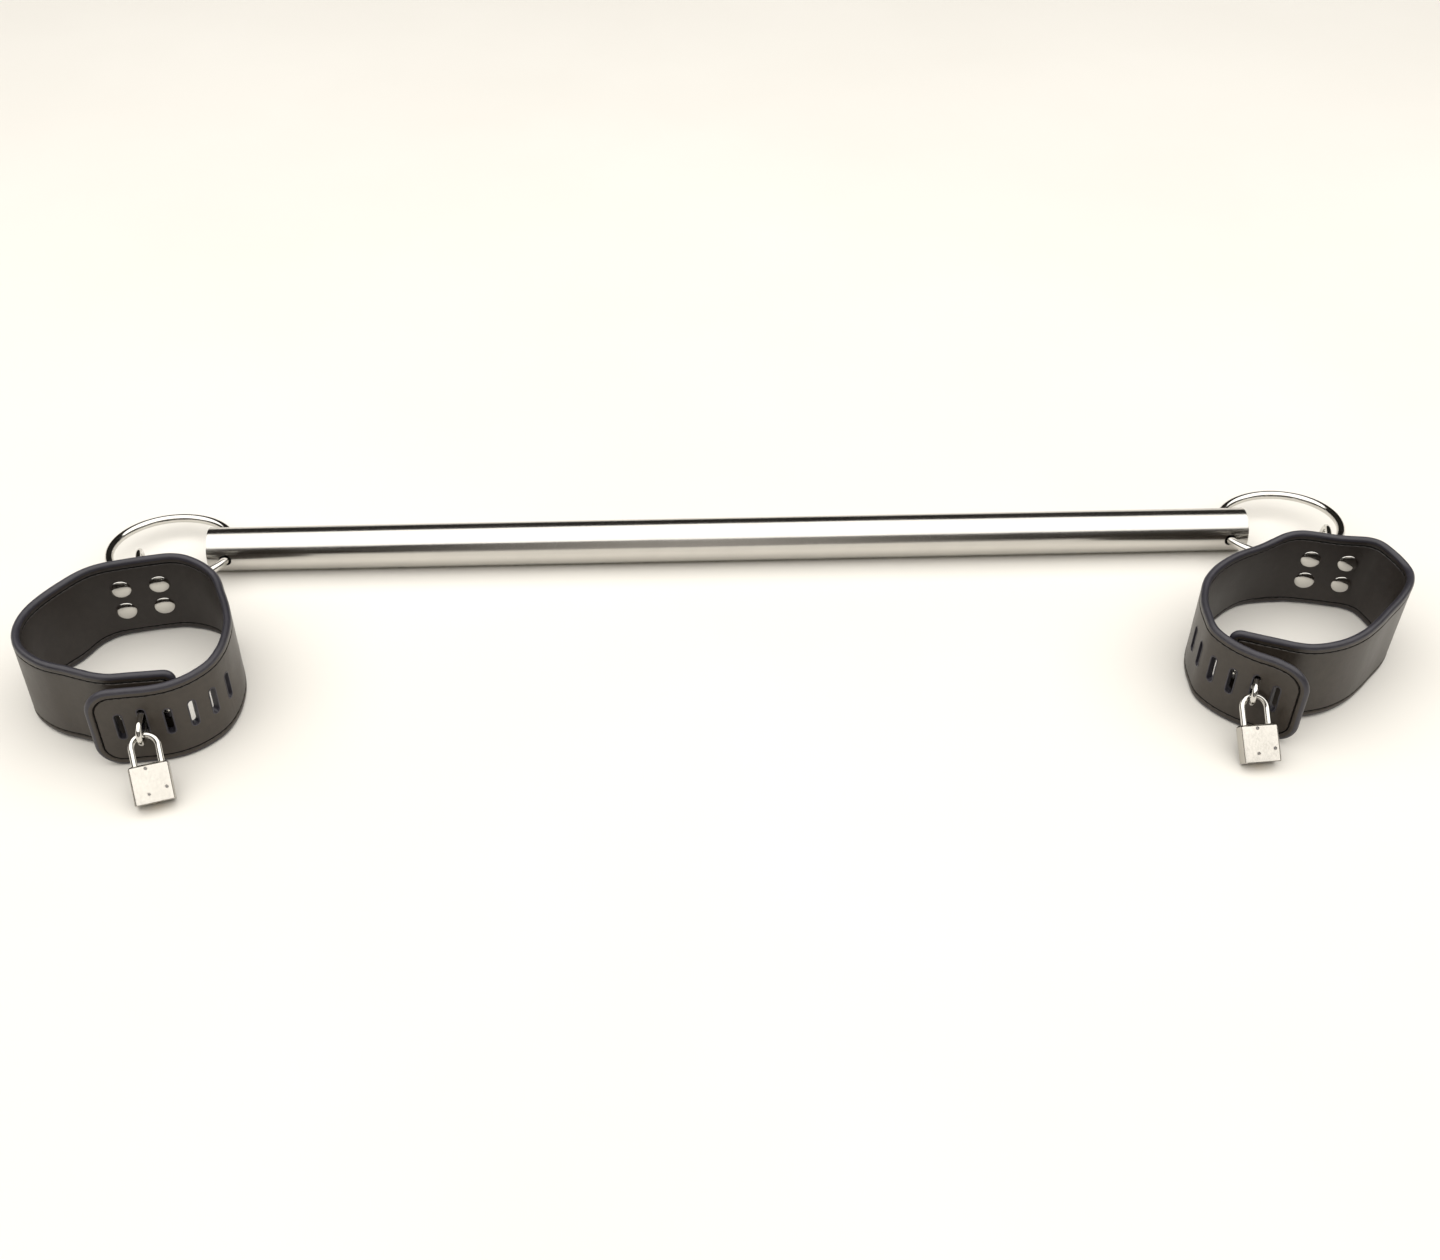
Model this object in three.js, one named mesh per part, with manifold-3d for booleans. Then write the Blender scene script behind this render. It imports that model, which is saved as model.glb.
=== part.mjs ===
// Spreader bar with two locking leather cuffs.
// Units: millimetres. +Z up. The bar lies along X, the cuffs stand on their
// edges in front of it (-Y) and each is closed by a small padlock.
import * as THREE from 'three';
import { mergeVertices } from 'three/addons/utils/BufferGeometryUtils.js';
import Module from 'manifold-3d';

// ---------------------------------------------------------------- dimensions
// placement of the assembly in its own frame
const ORIGIN_X = -6.2297, ORIGIN_Y = -80.6006, ORIGIN_Z = 0; // subtracted from every vertex

// bar
const BAR_LEN = 610, BAR_R = 12.7, BAR_WALL = 1.6, BAR_Z = 12.7;
const HOLE_FROM_END = 10.5, HOLE_R = 3.5, HOLE_TILT = 6;      // deg, front end up
const CAP_R = 10.8, CAP_LEN = 5.2, CAP_RECESS = 0.2;

// round rings
const RING_R = 35, RING_WIRE_R = 2.5;
const RING_TILT_LEFT = 1, RING_TILT_RIGHT = 4;                // deg, outer side up

// strap
const LAYER_T = 1.95, LAYER_GAP = 0.3, STRAP_W = 50.8, EDGE_CHAMFER = 0.6;
const TAB_CORNER_R = 14, TIP_CORNER_R = 6, UNDER_RAISE = 1.5;
const SLOT_FIRST = 15.4, SLOT_PITCH = 11.9, SLOT_COUNT = 6;
const SLOT_W = 3.6, SLOT_L = 16.5, SLOT_Z = 27, STAPLE_SLOT = 1;

// dee ring and its keeper
const DEE_WIRE_R = 1.6, DEE_HALF_H = 14.5, DEE_STRAIGHT = 14, DEE_Z = 25.4;
const KEEPER_W = 34, KEEPER_H = 25, KEEPER_T = 1.7;
const BACK_RIVET_DX = 10.2, BACK_RIVET_DZ = 7.6, BACK_RIVET_Z = 26.4;

// staple
const STAPLE_WIRE_R = 1.5, STAPLE_HALF_H = 5.75, STAPLE_REACH = 24.5, STAPLE_Z = 29.5;
const PLATE_W = 28, PLATE_H = 15, PLATE_T = 1.2, FRONT_RIVET_DX = 10.5;

// padlock
const LOCK_W = 20, LOCK_H = 20, LOCK_T = 8.5, LOCK_BEVEL = 1.4;
const SHACKLE_WIRE_R = 1.6, SHACKLE_HALF = 6.6, SHACKLE_TO_BODY = 15;
const TOE_DEPTH = 7, HEEL_DEPTH = 14, LEG_BORE_R = 1.95;
const NOTCH_TOP = 2.9, NOTCH_H = 2.8, NOTCH_D = 1.3;
const PLUG_R = 3.2, PLUG_BORE_R = 3.5, PLUG_TOP = 8.6, TAIL_R = 0.6, TAIL_OFF = 1.6;
const BOLT_T = 3, BOLT_H = 2.2, BOLT_X0 = -6.0, BOLT_X1 = 1.0, SPRING_END = 4.6;
const LOCK_LEAN = 47.5;                                        // deg from vertical

// plan curve of each strap, from the under tip round to the tab tip
const LEFT_PLAN = [[-290,-148.4],[-297,-148.8],[-305,-149.3],[-313,-149.8],[-323,-150.4],[-331,-148.8],[-338,-146.2],[-345.5,-143.2],[-357.7,-138.6],[-366.6,-132.6],[-373.8,-124.9],[-377.9,-116.1],[-379.1,-107],[-377.7,-97],[-373.5,-86.5],[-367.2,-76.4],[-359.8,-68.3],[-353.8,-64.0],[-347.6,-61.42],[-343.73,-60.37],[-335.88,-58.84],[-329.5,-57.6],[-322.14,-56.17],[-315.27,-54.83],[-311.3,-54.27],[-303.4,-55.3],[-292.6,-61.4],[-283.8,-71.0],[-278.5,-83.6],[-273.9,-95.9],[-270.9,-108],[-270.3,-119.8],[-271.3,-129.8],[-275.0,-140.6],[-283.0,-149.9],[-292.3,-155.8],[-301.7,-158.6],[-314,-160.0],[-324.8,-161.2],[-334.5,-162.4]];
const RIGHT_PLAN = [[253,-135.2],[257.5,-136.9],[263.2,-139.1],[271.3,-142.2],[277.5,-144.5],[284.5,-147.1],[292.8,-148.6],[302.9,-147.4],[312.8,-144.2],[323.7,-138.0],[333.6,-129.6],[343.3,-119.8],[352.9,-110.0],[359.8,-101.6],[364.6,-93.4],[366.6,-85.6],[365.2,-77.6],[361.2,-70.2],[357.0,-64.6],[351.85,-61.42],[348.43,-60.22],[340.83,-58.46],[334.5,-57.0],[327.19,-55.31],[320.57,-53.78],[316.43,-53.03],[308.6,-53.4],[299.4,-56.8],[289.7,-61.8],[279.7,-67.4],[269.8,-73.8],[260.5,-81.4],[253.2,-90.5],[248.9,-100.1],[246.3,-109.7],[245.5,-120.7],[246.0,-131.4],[251.8,-142.2],[261.4,-151.6],[271.2,-157.8],[279.6,-165.5],[286.6,-170.7]];
const LEFT_BACK_X = -329.5, RIGHT_BACK_X = 334.5;
// where the padlock hangs and how far it is turned
const LEFT_YAW = 16, RIGHT_YAW = 4;

// ------------------------------------------------------------------ materials
const mat = (color, roughness, metalness) => new THREE.MeshStandardMaterial({ color, roughness, metalness });
const CHROME = () => mat(0xd9d8d2, 0.12, 1);
const STEEL = () => mat(0xa9abae, 0.35, 1);
const BRASS = () => mat(0xb9974f, 0.3, 1);
const LEATHER = () => mat(0x2c2723, 0.55, 0);
const LINING = () => mat(0x2a2522, 0.7, 0);

// -------------------------------------------------------------------- helpers
const wasm = await Module();
wasm.setup();
const V = (x, y, z) => new THREE.Vector3(x, y, z);
const rad = (d) => d * Math.PI / 180;

function solid(g) {
  g = g.clone();
  g.deleteAttribute('normal');
  if (g.attributes.uv) g.deleteAttribute('uv');
  g = mergeVertices(g, 1e-4);
  const m = new wasm.Mesh({ numProp: 3, vertProperties: new Float32Array(g.attributes.position.array), triVerts: new Uint32Array(g.index.array) });
  return new wasm.Manifold(m);
}
function fromSolid(m) {
  const r = m.getMesh();
  const g = new THREE.BufferGeometry();
  g.setAttribute('position', new THREE.BufferAttribute(new Float32Array(r.vertProperties), 3));
  g.setIndex(new THREE.BufferAttribute(new Uint32Array(r.triVerts), 1));
  g.computeVertexNormals();
  return g;
}
// a frame: origin and three unit axes, as a matrix
const frame = (o, x, y, z) => new THREE.Matrix4().makeBasis(x, y, z).setPosition(o);
const group = new THREE.Group();
group.name = 'spreader_bar_with_locking_cuffs';
function add(name, g, material) {
  if (!g.isBufferGeometry) g = fromSolid(g);
  g.translate(-ORIGIN_X, -ORIGIN_Y, -ORIGIN_Z);
  const m = new THREE.Mesh(g, material);
  m.name = name;
  group.add(m);
}
// cylinder along a local axis of a frame
function cyl(r, h, seg) { return new THREE.CylinderGeometry(r, r, h, seg); } // along Y
function box(x0, x1, y0, y1, z0, z1) {
  const g = new THREE.BoxGeometry(x1 - x0, y1 - y0, z1 - z0);
  g.translate((x0 + x1) / 2, (y0 + y1) / 2, (z0 + z1) / 2);
  return g;
}
// closed tube swept along a list of planar points; `n` is the plane normal
function sweep(points, n, r, seg, closed) {
  const N = points.length, pos = [], idx = [];
  for (let i = 0; i < N; i++) {
    const a = points[closed ? (i - 1 + N) % N : Math.max(i - 1, 0)];
    const b = points[closed ? (i + 1) % N : Math.min(i + 1, N - 1)];
    const p = points[i];
    const t1 = (i === 0 && !closed) ? b.clone().sub(p).normalize() : p.clone().sub(a).normalize();
    const t2 = (i === N - 1 && !closed) ? t1 : b.clone().sub(p).normalize();
    const t = t1.clone().add(t2).normalize();
    const s = new THREE.Vector3().crossVectors(t, n).normalize();
    const stretch = 1 / Math.max(0.6, t.dot(t1));
    for (let k = 0; k < seg; k++) {
      const q = (k + 0.5) / seg * 2 * Math.PI;
      const v = p.clone().addScaledVector(s, Math.cos(q) * r * stretch).addScaledVector(n, Math.sin(q) * r);
      pos.push(v.x, v.y, v.z);
    }
  }
  const M = closed ? N : N - 1;
  for (let i = 0; i < M; i++) for (let k = 0; k < seg; k++) {
    const a = i * seg + k, b = i * seg + (k + 1) % seg, c = ((i + 1) % N) * seg + k, d = ((i + 1) % N) * seg + (k + 1) % seg;
    idx.push(a, b, c, b, d, c);
  }
  if (!closed) {
    for (let k = 1; k < seg - 1; k++) { idx.push(0, k + 1, k); const o = (N - 1) * seg; idx.push(o, o + k, o + k + 1); }
  }
  return oriented(pos, idx);
}
// make the surface face outwards
function oriented(pos, idx) {
  let vol = 0;
  for (let i = 0; i < idx.length; i += 3) {
    const [a, b, c] = [idx[i] * 3, idx[i + 1] * 3, idx[i + 2] * 3];
    vol += pos[a] * (pos[b + 1] * pos[c + 2] - pos[b + 2] * pos[c + 1])
      - pos[a + 1] * (pos[b] * pos[c + 2] - pos[b + 2] * pos[c])
      + pos[a + 2] * (pos[b] * pos[c + 1] - pos[b + 1] * pos[c]);
  }
  if (vol < 0) for (let i = 0; i < idx.length; i += 3) { const t = idx[i + 1]; idx[i + 1] = idx[i + 2]; idx[i + 2] = t; }
  const g = new THREE.BufferGeometry();
  g.setAttribute('position', new THREE.Float32BufferAttribute(pos, 3));
  g.setIndex(idx);
  g.computeVertexNormals();
  return g;
}
function arc(cx, cy, r, a0, a1, n) {
  const out = [];
  for (let i = 0; i <= n; i++) { const a = rad(a0 + (a1 - a0) * i / n); out.push([cx + r * Math.cos(a), cy + r * Math.sin(a)]); }
  return out;
}

// ------------------------------------------------------------------ strap path
function makePath(plan) {
  const curve = new THREE.CatmullRomCurve3(plan.map(([x, y]) => V(x, y, 0)), false, 'centripetal');
  curve.arcLengthDivisions = 1500;
  const len = curve.getLength();
  let cx = 0, cy = 0;
  plan.forEach(([x, y]) => { cx += x / plan.length; cy += y / plan.length; });
  const at = (s) => {
    const u = Math.min(1, Math.max(0, s / len));
    const p = curve.getPointAt(u), t = curve.getTangentAt(u).normalize();
    return { p, t, n: V(t.y, -t.x, 0) };
  };
  // decide which side is outward
  const m = at(len * 0.5);
  const sign = m.n.dot(V(m.p.x - cx, m.p.y - cy, 0)) > 0 ? 1 : -1;
  const at2 = (s) => { const q = at(s); q.n.multiplyScalar(sign); return q; };
  const find = (x, s0, s1) => { // arc length where the curve crosses a given x
    let best = s0, d = 1e9;
    for (let s = s0; s <= s1; s += 0.25) { const e = Math.abs(at2(s).p.x - x); if (e < d) { d = e; best = s; } }
    return best;
  };
  return { len, at: at2, find };
}
function raise(path, s) { // the under end stands a little proud
  return UNDER_RAISE * Math.max(0, 1 - s / 110) * (s < 110 ? 1 : 0);
}
// strap layer between the offsets n0..n1 from the middle of the strap
function layer(path, n0, n1, chamferOutside) {
  const L = path.len, st = [];
  const tip = (d, r) => (d < r ? r - Math.sqrt(Math.max(0, r * r - (r - d) * (r - d))) : 0);
  [0, 1.2, 3, 6].forEach((s) => st.push(s));
  for (let i = 0; i <= 50; i++) st.push(11 + (L - 27 - 11) * i / 50);
  [22, 17, TAB_CORNER_R, 10, 6.5, 3.6, 1.6, 0.4, 0].forEach((d) => st.push(L - d));
  const pos = [], idx = [], K = 6;
  st.forEach((s) => {
    const q = path.at(s);
    const inset = Math.max(tip(s, TIP_CORNER_R), tip(L - s, TAB_CORNER_R));
    const z0 = raise(path, s) + inset, z1 = raise(path, s) + STRAP_W - inset, c = EDGE_CHAMFER;
    const prof = chamferOutside
      ? [[n0, z0], [n1 - c, z0], [n1, z0 + c], [n1, z1 - c], [n1 - c, z1], [n0, z1]]
      : [[n1, z1], [n0 + c, z1], [n0, z1 - c], [n0, z0 + c], [n0 + c, z0], [n1, z0]];
    prof.forEach(([n, z]) => pos.push(q.p.x + q.n.x * n, q.p.y + q.n.y * n, z));
  });
  const N = st.length;
  for (let i = 0; i < N - 1; i++) for (let k = 0; k < K; k++) {
    const a = i * K + k, b = i * K + (k + 1) % K, c = a + K, d = b + K;
    idx.push(a, b, c, b, d, c);
  }
  for (let k = 1; k < K - 1; k++) { idx.push(0, k + 1, k); const o = (N - 1) * K; idx.push(o, o + k, o + k + 1); }
  return oriented(pos, idx);
}
// rounded slot cutter: local x along the strap, y outward, z up
function slotCutter(w, l) {
  const r = w / 2, h = l / 2 - r, s = new THREE.Shape();
  const pts = [...arc(0, h, r, 0, 180, 5), ...arc(0, -h, r, 180, 360, 5)];
  pts.forEach(([x, y], i) => (i ? s.lineTo(x, y) : s.moveTo(x, y)));
  s.closePath();
  const g = new THREE.ExtrudeGeometry(s, { depth: 16, bevelEnabled: false });
  g.translate(0, 0, -8);
  g.rotateX(Math.PI / 2);
  return g;
}
function lathe(pts, seg) { // about local Y
  return new THREE.LatheGeometry(pts.map(([r, y]) => new THREE.Vector2(Math.max(r, 0), y)), seg);
}

// ------------------------------------------------------------------------ bar
{
  const along = (g) => { g.rotateZ(Math.PI / 2); g.translate(0, 0, BAR_Z); return g; };
  let bar = solid(along(cyl(BAR_R, BAR_LEN, 36))).subtract(solid(along(cyl(BAR_R - BAR_WALL, BAR_LEN + 4, 36))));
  for (const side of [-1, 1]) {
    const c = cyl(HOLE_R, 40, 16);
    c.rotateX(rad(-HOLE_TILT));
    c.translate(side * (BAR_LEN / 2 - HOLE_FROM_END), 0, BAR_Z);
    bar = bar.subtract(solid(c));
  }
  add('bar_tube', bar, CHROME());
  for (const side of [-1, 1]) {
    const g = lathe([[0, 0], [CAP_R - 0.8, 0], [CAP_R, 0.8], [CAP_R, CAP_LEN - 0.5], [CAP_R - 0.5, CAP_LEN], [0, CAP_LEN]], 28);
    g.rotateZ(side > 0 ? -Math.PI / 2 : Math.PI / 2);
    g.translate(side * (BAR_LEN / 2 - CAP_RECESS - CAP_LEN), 0, BAR_Z);
    add(side < 0 ? 'bar_end_plug_left' : 'bar_end_plug_right', solid(g), STEEL());
  }
}

// ------------------------------------------------------------------ each side
function buildSide(side, tag, plan, backX, ringTilt, yaw) {
  // ring
  const d1 = V(0, Math.cos(rad(HOLE_TILT)), -Math.sin(rad(HOLE_TILT)));
  const flat = V(side, 0, 0);
  const up = new THREE.Vector3().crossVectors(flat, d1); if (up.z < 0) up.negate();
  const d2 = flat.clone().multiplyScalar(Math.cos(rad(ringTilt))).addScaledVector(up, Math.sin(rad(ringTilt)));
  const halfChord = BAR_R - BAR_WALL / 2;
  const ringC = V(side * (BAR_LEN / 2 - HOLE_FROM_END), 0, BAR_Z).addScaledVector(d2, Math.sqrt(RING_R ** 2 - halfChord ** 2));
  const rn = new THREE.Vector3().crossVectors(d1, d2);
  {
    const g = new THREE.TorusGeometry(RING_R, RING_WIRE_R, 8, 44);
    g.applyMatrix4(frame(ringC, d1, new THREE.Vector3().crossVectors(rn, d1), rn));
    add('ring_' + tag, solid(g), CHROME());
  }
  // straps
  const path = makePath(plan);
  const L = path.len;
  const sBack = path.find(backX, L * 0.3, L * 0.7);
  const back = path.at(sBack);
  const holeAt = (q, dx, z, r, d) => {
    const g = cyl(r, 22, 12);
    g.applyMatrix4(frame(q.p.clone().addScaledVector(q.t, dx).add(V(0, 0, z)), q.t, q.n, new THREE.Vector3().crossVectors(q.t, q.n)));
    return solid(g);
  };
  const half = LAYER_GAP / 2;
  let outer = solid(layer(path, half, half + LAYER_T, true));
  let lining = solid(layer(path, -half - LAYER_T, -half, false));
  const cut = (c) => { outer = outer.subtract(c); lining = lining.subtract(c); };
  for (const [dx, dz] of [[-1, -1], [1, -1], [-1, 1], [1, 1]]) cut(holeAt(back, dx * BACK_RIVET_DX, BACK_RIVET_Z + dz * BACK_RIVET_DZ, 2.2));
  // staple position on the under strap: straight below the staple slot
  const slotS = [];
  for (let i = 0; i < SLOT_COUNT; i++) slotS.push(L - SLOT_FIRST - i * SLOT_PITCH);
  const qs = path.at(slotS[STAPLE_SLOT]);
  let sU = 14, best = 1e9;
  for (let s = 10; s < 60; s += 0.1) {
    const u = path.at(s);
    const w = qs.p.clone().sub(u.p);
    const e = Math.abs(w.dot(u.t));
    if (e < best) { best = e; sU = s; }
  }
  const under = path.at(sU);
  const uz = V(0, 0, 1);
  // frame of the staple: x along the strap, y outward, z up
  const ux = new THREE.Vector3().crossVectors(under.n, uz).normalize();
  const SF = (y, z) => frame(under.p.clone().addScaledVector(under.n, y).add(V(0, 0, z)), ux, under.n, uz);
  slotS.forEach((s, i) => {
    const q = path.at(s);
    const g = slotCutter(SLOT_W, SLOT_L);
    if (i === STAPLE_SLOT) { // opened along the staple
      g.applyMatrix4(frame(q.p.clone().add(V(0, 0, STAPLE_Z)), ux, under.n, uz));
    } else {
      const x = new THREE.Vector3().crossVectors(q.n, uz);
      g.applyMatrix4(frame(q.p.clone().add(V(0, 0, SLOT_Z)), x, q.n, uz));
    }
    cut(solid(g));
  });
  for (const dx of [-1, 1]) { // rivet holes of the staple plate, under strap only
    const g = cyl(1.8, 14, 12);
    g.applyMatrix4(SF(0, STAPLE_Z).multiply(new THREE.Matrix4().makeTranslation(dx * FRONT_RIVET_DX, 0, 0)));
    const h = solid(g).subtract(solid((() => { const b = box(-30, 30, 4.6, 30, -20, 20); b.applyMatrix4(SF(0, STAPLE_Z)); return b; })()));
    cut(h);
  }
  add('cuff_' + tag + '_outer_leather', outer, LEATHER());
  add('cuff_' + tag + '_lining_leather', lining, LINING());

  // keeper patch over the straight side of the dee ring
  const face = half + LAYER_T;
  const barN = face + 0.3 + DEE_WIRE_R;
  {
    const bx = new THREE.Vector3().crossVectors(back.n, uz).normalize();
    const F = frame(back.p.clone().add(V(0, 0, DEE_Z)), bx, back.n, uz);
    const lo = face + 0.3, hi = barN + DEE_WIRE_R + 0.35, w = KEEPER_W / 2, t = KEEPER_T;
    const inner = [[-w, lo], [-4.6, lo], [-3.2, lo + 1.2], [-2.1, hi - 0.5], [-0.9, hi], [0.9, hi], [2.1, hi - 0.5], [3.2, lo + 1.2], [4.6, lo], [w, lo]];
    const outerP = [[w, lo + t], [5.0, lo + t], [4.3, lo + t + 0.8], [3.2, hi + 0.9], [1.4, hi + t], [-1.4, hi + t], [-3.2, hi + 0.9], [-4.3, lo + t + 0.8], [-5.0, lo + t], [-w, lo + t]];
    const s = new THREE.Shape();
    [...inner, ...outerP].forEach(([x, y], i) => (i ? s.lineTo(x, y) : s.moveTo(x, y)));
    s.closePath();
    const g = new THREE.ExtrudeGeometry(s, { depth: KEEPER_H, bevelEnabled: false });
    g.translate(0, 0, -KEEPER_H / 2);
    let k = solid(g);
    for (const [dx, dz] of [[-1, -1], [1, -1], [-1, 1], [1, 1]]) {
      const c = cyl(2.2, 30, 12); c.translate(dx * BACK_RIVET_DX, 0, BACK_RIVET_Z - DEE_Z + dz * BACK_RIVET_DZ);
      k = k.subtract(solid(c));
    }
    const kg = fromSolid(k); kg.applyMatrix4(F);
    add('dee_keeper_' + tag, kg, LEATHER());
    // dee ring
    const pts = [];
    for (let i = 0; i <= 3; i++) pts.push([0, -DEE_HALF_H + 2.2 + (DEE_HALF_H * 2 - 4.4) * i / 3]);
    arc(2.2, DEE_HALF_H - 2.2, 2.2, 180, 90, 3).slice(1).forEach((p) => pts.push(p));
    pts.push([DEE_STRAIGHT * 0.55, DEE_HALF_H]);
    arc(DEE_STRAIGHT, 0, DEE_HALF_H, 90, -90, 14).forEach((p) => pts.push(p));
    pts.push([DEE_STRAIGHT * 0.55, -DEE_HALF_H]);
    arc(2.2, -DEE_HALF_H + 2.2, 2.2, 270, 180, 3).slice(0, -1).forEach((p) => pts.push(p));
    const o = back.p.clone().addScaledVector(back.n, barN).add(V(0, 0, DEE_Z));
    const loop = pts.map(([u, v]) => o.clone().addScaledVector(back.n, u).add(V(0, 0, v)));
    add('dee_ring_' + tag, solid(sweep(loop, bx, DEE_WIRE_R, 8, true)), CHROME());
    // through rivets: large cap inside the cuff, small cap on the keeper
    const names = ['lower_a', 'lower_b', 'upper_a', 'upper_b'];
    const ky = lo + t + 0.3, cy = -face - 0.45;
    [[-1, -1], [1, -1], [-1, 1], [1, 1]].forEach(([dx, dz], i) => {
      const r = lathe([[0, cy - 2.1], [3.0, cy - 1.8], [4.8, cy - 1.1], [5.6, cy - 0.2], [5.6, cy], [1.8, cy], [1.8, ky], [4.7, ky], [4.3, ky + 0.9], [2.6, ky + 1.5], [0, ky + 1.7]], 14);
      r.translate(dx * BACK_RIVET_DX, 0, BACK_RIVET_Z - DEE_Z + dz * BACK_RIVET_DZ);
      r.applyMatrix4(F);
      add('back_rivet_' + tag + '_' + names[i], solid(r), CHROME());
    });
  }

  // staple with its base plate
  const p0 = face + 0.3;                       // back of the plate
  {
    let plate = solid(box(-PLATE_W / 2, PLATE_W / 2, p0, p0 + PLATE_T, -PLATE_H / 2, PLATE_H / 2));
    const hgt = STAPLE_HALF_H, x0 = p0 + PLATE_T * 0.4, reach = face + STAPLE_REACH - STAPLE_WIRE_R - hgt;
    const uPts = [[x0, hgt], [reach * 0.55, hgt], ...arc(reach, 0, hgt, 90, -90, 10), [reach * 0.55, -hgt], [x0, -hgt]];
    const u3 = uPts.map(([a, b]) => V(0, a, b));
    plate = plate.add(solid(sweep(u3, V(1, 0, 0), STAPLE_WIRE_R, 10, false)));
    for (const dx of [-1, 1]) { const c = cyl(1.8, 30, 12); c.translate(dx * FRONT_RIVET_DX, 0, 0); plate = plate.subtract(solid(c)); }
    const pg = fromSolid(plate); pg.applyMatrix4(SF(0, STAPLE_Z));
    add('staple_' + tag, pg, CHROME());
    const hy = p0 + PLATE_T + 0.3, iy = -face - 0.45;
    for (const dx of [-1, 1]) {
      const r = lathe([[0, iy - 1.3], [2.2, iy - 1.0], [3.4, iy - 0.2], [3.4, iy], [1.45, iy], [1.45, hy], [3.0, hy], [2.4, hy + 0.8], [0, hy + 1.2]], 12);
      r.translate(dx * FRONT_RIVET_DX, 0, 0);
      r.applyMatrix4(SF(0, STAPLE_Z));
      add('staple_rivet_' + tag + (dx < 0 ? '_a' : '_b'), solid(r), CHROME());
    }
  }

  // padlock, hanging from the lower leg of the staple
  const reachC = face + STAPLE_REACH - STAPLE_WIRE_R - STAPLE_HALF_H;
  const arch = under.p.clone().addScaledVector(under.n, reachC).add(V(0, 0, STAPLE_Z - STAPLE_HALF_H + STAPLE_WIRE_R + SHACKLE_WIRE_R + 0.35));
  const h = V(Math.sin(rad(yaw)), -Math.cos(rad(yaw)), 0);     // direction the foot leans to
  const down = h.clone().multiplyScalar(Math.sin(rad(LOCK_LEAN))).add(V(0, 0, -Math.cos(rad(LOCK_LEAN))));
  const wx = V(-h.y, h.x, 0).normalize();                       // width, to the right
  const ny = new THREE.Vector3().crossVectors(down.clone().negate(), wx); // thickness axis
  const LF = frame(arch, wx, ny, down.clone().negate());        // x width, y thickness (back), z up along the shackle
  const B = -SHACKLE_TO_BODY;                                    // top of the body
  {
    // body
    const s = new THREE.Shape();
    const w = LOCK_W / 2, t = LOCK_T / 2, b = LOCK_BEVEL;
    [[-w, -t + b], [-w + 0.45, -t + 0.4], [-w + b, -t], [w - b, -t], [w - 0.45, -t + 0.4], [w, -t + b], [w, t - b], [w - b, t], [-w + b, t], [-w, t - b]].forEach(([x, y], i) => (i ? s.lineTo(x, y) : s.moveTo(x, y)));
    s.closePath();
    const g = new THREE.ExtrudeGeometry(s, { depth: LOCK_H, bevelEnabled: false });
    g.translate(0, 0, B - LOCK_H);
    let body = solid(g);
    const bore = (x, y, r, z0, z1, n) => { const c = cyl(r, z1 - z0, n); c.rotateX(Math.PI / 2); c.translate(x, y, (z0 + z1) / 2); return solid(c); };
    body = body.subtract(bore(-SHACKLE_HALF, 0, LEG_BORE_R, B - TOE_DEPTH - 1, B + 1, 14));
    body = body.subtract(bore(SHACKLE_HALF, 0, LEG_BORE_R, B - HEEL_DEPTH - 1, B + 1, 14));
    body = body.subtract(bore(0, 0, PLUG_BORE_R, B - LOCK_H - 1, B - PLUG_TOP + 0.35, 20));
    const by0 = B - NOTCH_TOP - NOTCH_H / 2;                      // bolt centre height
    body = body.subtract(bore(0, 0, TAIL_OFF + TAIL_R + 0.4, B - PLUG_TOP, by0 - BOLT_H / 2 + 1.4, 16));
    body = body.subtract(solid(box(-SHACKLE_HALF, SPRING_END, -BOLT_T / 2 - 0.35, BOLT_T / 2 + 0.35, by0 - BOLT_H / 2 - 0.35, by0 + BOLT_H / 2 + 0.35)));
    const pins = [[-1.4, B - 2.2, 1.6], [-2.1, B - 15.3, 0.55], [6.9, B - 13.2, 1.5]];
    pins.forEach(([x, z, d]) => { const c = cyl(1.0, d + 0.35 + 2, 12); c.translate(x, -t + (d + 0.35 - 2) / 2, z); body = body.subtract(solid(c)); });
    const put = (name, sol, m) => { const q = sol.isBufferGeometry ? sol : fromSolid(sol); q.applyMatrix4(LF); add(name, q, m); };
    put('padlock_' + tag + '_body', body, CHROME());
    pins.forEach(([x, z, d], i) => { const c = cyl(0.7, d - 0.15, 10); c.translate(x, -t + 0.15 + (d - 0.15) / 2, z); put('padlock_' + tag + '_case_pin_' + (i + 1), solid(c), STEEL()); });
    // shackle
    const A = SHACKLE_HALF;
    const sp = [[-A, B - TOE_DEPTH], [-A, B - NOTCH_TOP], [-A, -A - 3], ...arc(0, -A, A, 180, 0, 12), [A, -A - 3], [A, B - NOTCH_TOP], [A, B - HEEL_DEPTH]];
    let sh = solid(sweep(sp.map(([x, z]) => V(x, 0, z)), V(0, 1, 0), SHACKLE_WIRE_R, 10, false));
    sh = sh.subtract(solid(box(-A + SHACKLE_WIRE_R - NOTCH_D, -A + 4, -4, 4, B - NOTCH_TOP - NOTCH_H, B - NOTCH_TOP)));
    put('padlock_' + tag + '_shackle', sh, CHROME());
    // bolt with a cross slot for the tail of the plug
    let bolt = solid(box(BOLT_X0, BOLT_X1, -BOLT_T / 2, BOLT_T / 2, by0 - BOLT_H / 2, by0 + BOLT_H / 2));
    bolt = bolt.subtract(solid(box(-TAIL_OFF - TAIL_R - 0.4, -TAIL_OFF + TAIL_R + 0.75, -4, 4, by0 - 4, by0 + 0.4)));
    put('padlock_' + tag + '_bolt', bolt, BRASS());
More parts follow.
